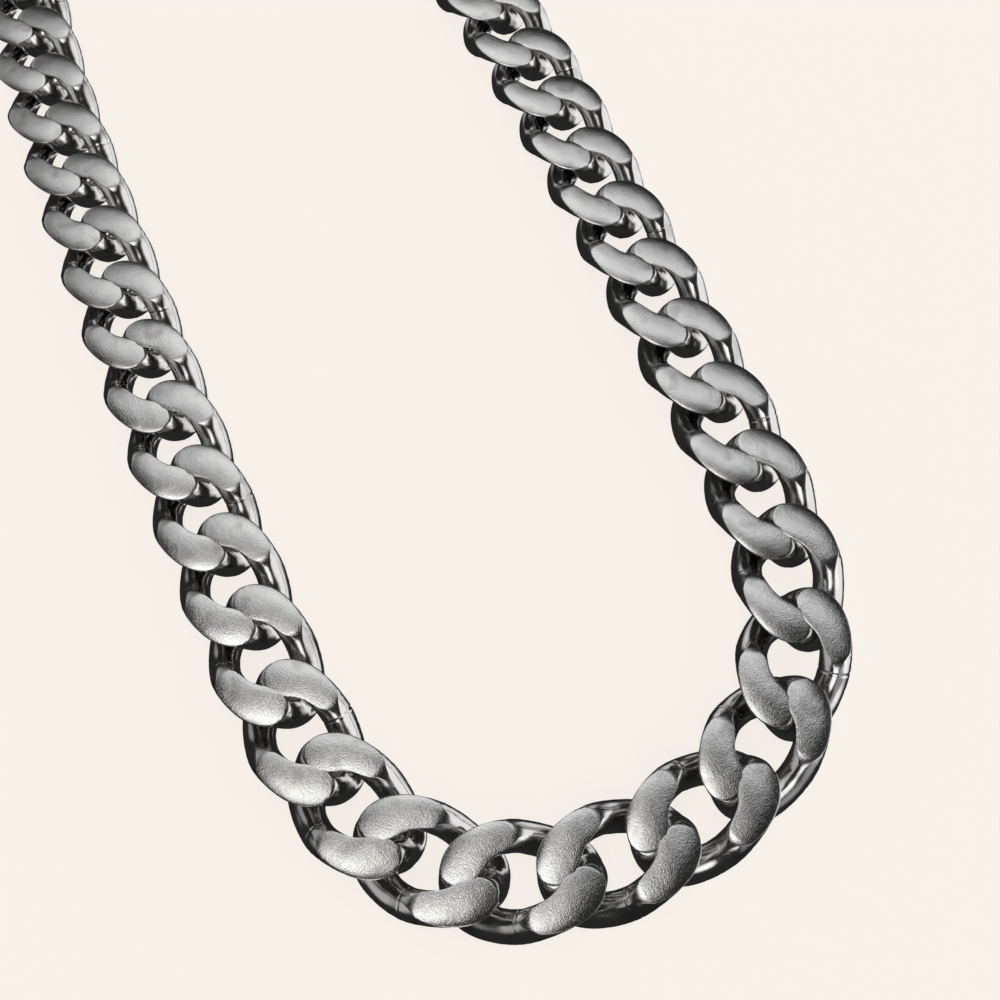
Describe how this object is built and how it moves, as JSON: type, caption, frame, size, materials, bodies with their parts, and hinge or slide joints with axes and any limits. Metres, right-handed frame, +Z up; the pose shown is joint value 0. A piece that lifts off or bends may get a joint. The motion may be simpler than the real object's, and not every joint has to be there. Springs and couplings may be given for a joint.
{
  "type": "chain necklace",
  "caption": "Flat curb-link steel chain necklace lying in a U with its lobster clasp undone; every link is its own hinged piece.",
  "frame": {"origin": "middle of the necklace's footprint, on the surface it lies on", "axes": "+Z up, away from that surface; +Y from the bottom of the U towards its open end, along the strands"},
  "size_m": [0.1258, 0.2414, 0.0043],
  "materials": {
    "curb_links": "satin",
    "rings": "polished",
    "swivel_eye": "polished",
    "clasp": "polished",
    "lever_pin": "satin",
    "spring": "satin"
  },
  "bodies": {
    "bottom_link": {"bottom_link": "curb_links"},
    "left_link_01": {"left_link_01": "curb_links"},
    "left_link_02": {"left_link_02": "curb_links"},
    "left_link_03": {"left_link_03": "curb_links"},
    "left_link_04": {"left_link_04": "curb_links"},
    "left_link_05": {"left_link_05": "curb_links"},
    "left_link_06": {"left_link_06": "curb_links"},
    "left_link_07": {"left_link_07": "curb_links"},
    "left_link_08": {"left_link_08": "curb_links"},
    "left_link_09": {"left_link_09": "curb_links"},
    "left_link_10": {"left_link_10": "curb_links"},
    "left_link_11": {"left_link_11": "curb_links"},
    "left_link_12": {"left_link_12": "curb_links"},
    "left_link_13": {"left_link_13": "curb_links"},
    "left_link_14": {"left_link_14": "curb_links"},
    "left_link_15": {"left_link_15": "curb_links"},
    "left_link_16": {"left_link_16": "curb_links"},
    "left_link_17": {"left_link_17": "curb_links"},
    "left_link_18": {"left_link_18": "curb_links"},
    "left_link_19": {"left_link_19": "curb_links"},
    "left_link_20": {"left_link_20": "curb_links"},
    "left_link_21": {"left_link_21": "curb_links"},
    "left_link_22": {"left_link_22": "curb_links"},
    "left_link_23": {"left_link_23": "curb_links"},
    "right_link_01": {"right_link_01": "curb_links"},
    "right_link_02": {"right_link_02": "curb_links"},
    "right_link_03": {"right_link_03": "curb_links"},
    "right_link_04": {"right_link_04": "curb_links"},
    "right_link_05": {"right_link_05": "curb_links"},
    "right_link_06": {"right_link_06": "curb_links"},
    "right_link_07": {"right_link_07": "curb_links"},
    "right_link_08": {"right_link_08": "curb_links"},
    "right_link_09": {"right_link_09": "curb_links"},
    "right_link_10": {"right_link_10": "curb_links"},
    "right_link_11": {"right_link_11": "curb_links"},
    "right_link_12": {"right_link_12": "curb_links"},
    "right_link_13": {"right_link_13": "curb_links"},
    "right_link_14": {"right_link_14": "curb_links"},
    "right_link_15": {"right_link_15": "curb_links"},
    "right_link_16": {"right_link_16": "curb_links"},
    "right_link_17": {"right_link_17": "curb_links"},
    "right_link_18": {"right_link_18": "curb_links"},
    "right_link_19": {"right_link_19": "curb_links"},
    "right_link_20": {"right_link_20": "curb_links"},
    "right_link_21": {"right_link_21": "curb_links"},
    "right_link_22": {"right_link_22": "curb_links"},
    "right_link_23": {"right_link_23": "curb_links"},
    "clasp_jump_ring": {"clasp_jump_ring": "rings"},
    "end_ring": {"end_ring": "rings"},
    "clasp_swivel_eye": {"clasp_swivel_eye": "swivel_eye"},
    "clasp_body": {"clasp_body": "clasp", "clasp_lever_pin": "lever_pin", "clasp_leaf_spring": "spring"},
    "clasp_lever": {"clasp_lever": "clasp"}
  },
  "joints": [
    {"name": "left_link_01_hinge", "type": "hinge", "parent": "bottom_link", "child": "left_link_01", "pos_m": [0.0215, -0.11473, 0.00216], "axis": [0, 0, -1], "range_deg": [-55, 1]},
    {"name": "left_link_02_hinge", "type": "hinge", "parent": "left_link_01", "child": "left_link_02", "pos_m": [0.01284, -0.11032, 0.00216], "axis": [0, 0, 1], "range_deg": [-5.5, 50.5]},
    {"name": "left_link_03_hinge", "type": "hinge", "parent": "left_link_02", "child": "left_link_03", "pos_m": [0.00653, -0.10293, 0.00216], "axis": [0.8216, 0.57, 0], "range_deg": [-17.8, 17.8]},
    {"name": "left_link_04_hinge", "type": "hinge", "parent": "left_link_03", "child": "left_link_04", "pos_m": [0.00181, -0.09443, 0.00216], "axis": [-0.9007, -0.4344, 0], "range_deg": [-21.8, 21.8]},
    {"name": "left_link_05_hinge", "type": "hinge", "parent": "left_link_04", "child": "left_link_05", "pos_m": [-0.00191, -0.08545, 0.00216], "axis": [-0.9249, -0.3803, 0], "range_deg": [-26.8, 26.8]},
    {"name": "left_link_06_hinge", "type": "hinge", "parent": "left_link_05", "child": "left_link_06", "pos_m": [-0.00558, -0.07645, 0.00216], "axis": [0.9269, 0.3754, 0], "range_deg": [-26.8, 26.8]},
    {"name": "left_link_07_hinge", "type": "hinge", "parent": "left_link_06", "child": "left_link_07", "pos_m": [-0.0092, -0.06743, 0.00216], "axis": [0.9288, 0.3706, 0], "range_deg": [-26.8, 26.8]},
    {"name": "left_link_08_hinge", "type": "hinge", "parent": "left_link_07", "child": "left_link_08", "pos_m": [-0.01278, -0.05839, 0.00216], "axis": [-0.9307, -0.3657, 0], "range_deg": [-26.8, 26.8]},
    {"name": "left_link_09_hinge", "type": "hinge", "parent": "left_link_08", "child": "left_link_09", "pos_m": [-0.01631, -0.04934, 0.00216], "axis": [-0.9326, -0.3608, 0], "range_deg": [-26.8, 26.8]},
    {"name": "left_link_10_hinge", "type": "hinge", "parent": "left_link_09", "child": "left_link_10", "pos_m": [-0.0198, -0.04026, 0.00216], "axis": [0.9345, 0.3559, 0], "range_deg": [-26.8, 26.8]},
    {"name": "left_link_11_hinge", "type": "hinge", "parent": "left_link_10", "child": "left_link_11", "pos_m": [-0.02323, -0.03117, 0.00216], "axis": [0.9364, 0.351, 0], "range_deg": [-26.8, 26.8]},
    {"name": "left_link_12_hinge", "type": "hinge", "parent": "left_link_11", "child": "left_link_12", "pos_m": [-0.02662, -0.02206, 0.00216], "axis": [-0.9382, -0.3461, 0], "range_deg": [-26.8, 26.8]},
    {"name": "left_link_13_hinge", "type": "hinge", "parent": "left_link_12", "child": "left_link_13", "pos_m": [-0.02996, -0.01293, 0.00216], "axis": [-0.9438, -0.3305, 0], "range_deg": [-25.7, 25.7]},
    {"name": "left_link_14_hinge", "type": "hinge", "parent": "left_link_13", "child": "left_link_14", "pos_m": [-0.03305, -0.00371, 0.00216], "axis": [0.9527, 0.304, 0], "range_deg": [-25.7, 25.7]},
    {"name": "left_link_15_hinge", "type": "hinge", "parent": "left_link_14", "child": "left_link_15", "pos_m": [-0.03587, 0.00559, 0.00216], "axis": [0.9608, 0.2773, 0], "range_deg": [-25.7, 25.7]},
    {"name": "left_link_16_hinge", "type": "hinge", "parent": "left_link_15", "child": "left_link_16", "pos_m": [-0.03844, 0.01496, 0.00216], "axis": [-0.9681, -0.2504, 0], "range_deg": [-25.7, 25.7]},
    {"name": "left_link_17_hinge", "type": "hinge", "parent": "left_link_16", "child": "left_link_17", "pos_m": [-0.04074, 0.0244, 0.00216], "axis": [-0.9748, -0.2233, 0], "range_deg": [-25.7, 25.7]},
    {"name": "left_link_18_hinge", "type": "hinge", "parent": "left_link_17", "child": "left_link_18", "pos_m": [-0.04278, 0.03391, 0.00216], "axis": [0.9806, 0.1959, 0], "range_deg": [-25.7, 25.7]},
    {"name": "left_link_19_hinge", "type": "hinge", "parent": "left_link_18", "child": "left_link_19", "pos_m": [-0.04455, 0.04347, 0.00216], "axis": [0.9833, 0.1822, 0], "range_deg": [-27, 27]},
    {"name": "left_link_20_hinge", "type": "hinge", "parent": "left_link_19", "child": "left_link_20", "pos_m": [-0.04632, 0.05302, 0.00216], "axis": [0, 0, -1], "range_deg": [-28, 28]},
    {"name": "left_link_21_hinge", "type": "hinge", "parent": "left_link_20", "child": "left_link_21", "pos_m": [-0.04809, 0.06258, 0.00216], "axis": [-0.9833, -0.1822, 0], "range_deg": [-27, 27]},
    {"name": "left_link_22_hinge", "type": "hinge", "parent": "left_link_21", "child": "left_link_22", "pos_m": [-0.04986, 0.07214, 0.00216], "axis": [0, 0, 1], "range_deg": [-28, 28]},
    {"name": "left_link_23_hinge", "type": "hinge", "parent": "left_link_22", "child": "left_link_23", "pos_m": [-0.05163, 0.0817, 0.00216], "axis": [-0.9833, -0.1822, 0], "range_deg": [-27, 27]},
    {"name": "right_link_01_hinge", "type": "hinge", "parent": "bottom_link", "child": "right_link_01", "pos_m": [0.03122, -0.11473, 0.00216], "axis": [0.1564, -0.9877, 0], "range_deg": [-12.6, 12.6]},
    {"name": "right_link_02_hinge", "type": "hinge", "parent": "right_link_01", "child": "right_link_02", "pos_m": [0.04046, -0.11173, 0.00216], "axis": [-0.4266, 0.9045, 0], "range_deg": [-15.4, 15.4]},
    {"name": "right_link_03_hinge", "type": "hinge", "parent": "right_link_02", "child": "right_link_03", "pos_m": [0.04866, -0.10651, 0.00216], "axis": [0, 0, 1], "range_deg": [-48.5, 7.5]},
    {"name": "right_link_04_hinge", "type": "hinge", "parent": "right_link_03", "child": "right_link_04", "pos_m": [0.05451, -0.09874, 0.00216], "axis": [0, 0, -1], "range_deg": [-7.5, 48.5]},
    {"name": "right_link_05_hinge", "type": "hinge", "parent": "right_link_04", "child": "right_link_05", "pos_m": [0.05727, -0.08943, 0.00216], "axis": [0, 0, 1], "range_deg": [-48.5, 7.5]},
    {"name": "right_link_06_hinge", "type": "hinge", "parent": "right_link_05", "child": "right_link_06", "pos_m": [0.05659, -0.07973, 0.00216], "axis": [-0.9884, -0.1521, 0], "range_deg": [-19.4, 19.4]},
    {"name": "right_link_07_hinge", "type": "hinge", "parent": "right_link_06", "child": "right_link_07", "pos_m": [0.05432, -0.07028, 0.00216], "axis": [0.9636, 0.2672, 0], "range_deg": [-23.8, 23.8]},
    {"name": "right_link_08_hinge", "type": "hinge", "parent": "right_link_07", "child": "right_link_08", "pos_m": [0.0514, -0.06101, 0.00216], "axis": [0.9532, 0.3024, 0], "range_deg": [-26.8, 26.8]},
    {"name": "right_link_09_hinge", "type": "hinge", "parent": "right_link_08", "child": "right_link_09", "pos_m": [0.04845, -0.05175, 0.00216], "axis": [-0.9521, -0.3057, 0], "range_deg": [-26.8, 26.8]},
    {"name": "right_link_10_hinge", "type": "hinge", "parent": "right_link_09", "child": "right_link_10", "pos_m": [0.04546, -0.0425, 0.00216], "axis": [-0.9511, -0.309, 0], "range_deg": [-26.8, 26.8]},
    {"name": "right_link_11_hinge", "type": "hinge", "parent": "right_link_10", "child": "right_link_11", "pos_m": [0.04244, -0.03326, 0.00216], "axis": [0.95, 0.3123, 0], "range_deg": [-26.8, 26.8]},
    {"name": "right_link_12_hinge", "type": "hinge", "parent": "right_link_11", "child": "right_link_12", "pos_m": [0.03939, -0.02403, 0.00216], "axis": [0.9489, 0.3156, 0], "range_deg": [-26.8, 26.8]},
    {"name": "right_link_13_hinge", "type": "hinge", "parent": "right_link_12", "child": "right_link_13", "pos_m": [0.0363, -0.01481, 0.00216], "axis": [-0.9438, -0.3305, 0], "range_deg": [-25.7, 25.7]},
    {"name": "right_link_14_hinge", "type": "hinge", "parent": "right_link_13", "child": "right_link_14", "pos_m": [0.03296, -0.00568, 0.00216], "axis": [-0.9342, -0.3567, 0], "range_deg": [-25.7, 25.7]},
    {"name": "right_link_15_hinge", "type": "hinge", "parent": "right_link_14", "child": "right_link_15", "pos_m": [0.02937, 0.00335, 0.00216], "axis": [0.9239, 0.3827, 0], "range_deg": [-25.7, 25.7]},
    {"name": "right_link_16_hinge", "type": "hinge", "parent": "right_link_15", "child": "right_link_16", "pos_m": [0.02552, 0.01227, 0.00216], "axis": [0.9128, 0.4083, 0], "range_deg": [-25.7, 25.7]},
    {"name": "right_link_17_hinge", "type": "hinge", "parent": "right_link_16", "child": "right_link_17", "pos_m": [0.02143, 0.02109, 0.00216], "axis": [-0.9011, -0.4337, 0], "range_deg": [-25.7, 25.7]},
    {"name": "right_link_18_hinge", "type": "hinge", "parent": "right_link_17", "child": "right_link_18", "pos_m": [0.01709, 0.02979, 0.00216], "axis": [-0.8886, -0.4587, 0], "range_deg": [-25.7, 25.7]},
    {"name": "right_link_19_hinge", "type": "hinge", "parent": "right_link_18", "child": "right_link_19", "pos_m": [0.01252, 0.03836, 0.00216], "axis": [0.8821, 0.471, 0], "range_deg": [-27, 27]},
    {"name": "right_link_20_hinge", "type": "hinge", "parent": "right_link_19", "child": "right_link_20", "pos_m": [0.00794, 0.04694, 0.00216], "axis": [0, 0, -1], "range_deg": [-28, 28]},
    {"name": "right_link_21_hinge", "type": "hinge", "parent": "right_link_20", "child": "right_link_21", "pos_m": [0.00336, 0.05551, 0.00216], "axis": [0.8821, 0.471, 0], "range_deg": [-27, 27]},
    {"name": "right_link_22_hinge", "type": "hinge", "parent": "right_link_21", "child": "right_link_22", "pos_m": [-0.00122, 0.06409, 0.00216], "axis": [0, 0, 1], "range_deg": [-28, 28]},
    {"name": "right_link_23_hinge", "type": "hinge", "parent": "right_link_22", "child": "right_link_23", "pos_m": [-0.0058, 0.07266, 0.00216], "axis": [-0.8821, -0.471, 0], "range_deg": [-27, 27]},
    {"name": "clasp_jump_ring_swing", "type": "hinge", "parent": "left_link_23", "child": "clasp_jump_ring", "pos_m": [-0.05375, 0.09309, 0.00216], "axis": [-0.6579, -0.1219, -0.7431], "range_deg": [-25, 25]},
    {"name": "clasp_eye_swing", "type": "hinge", "parent": "clasp_jump_ring", "child": "clasp_swivel_eye", "pos_m": [-0.05453, 0.09732, 0.00216], "axis": [-0.9403, -0.1743, 0.2924], "range_deg": [-50, 50]},
    {"name": "clasp_swivel", "type": "hinge", "parent": "clasp_swivel_eye", "child": "clasp_body", "pos_m": [-0.05503, 0.10003, 0.00216], "axis": [-0.1822, 0.9833, 0], "continuous": true},
    {"name": "clasp_lever_hinge", "type": "hinge", "parent": "clasp_body", "child": "clasp_lever", "pos_m": [-0.05872, 0.10565, 0.00216], "axis": [0, 0, -1], "range_deg": [0, 25], "stiffness_Nm_per_rad": 0.002, "springref_deg": -20},
    {"name": "end_ring_swing", "type": "hinge", "parent": "right_link_23", "child": "end_ring", "pos_m": [-0.01126, 0.08289, 0.00216], "axis": [-0.5903, -0.3152, -0.7431], "range_deg": [-25, 25]}
  ]
}
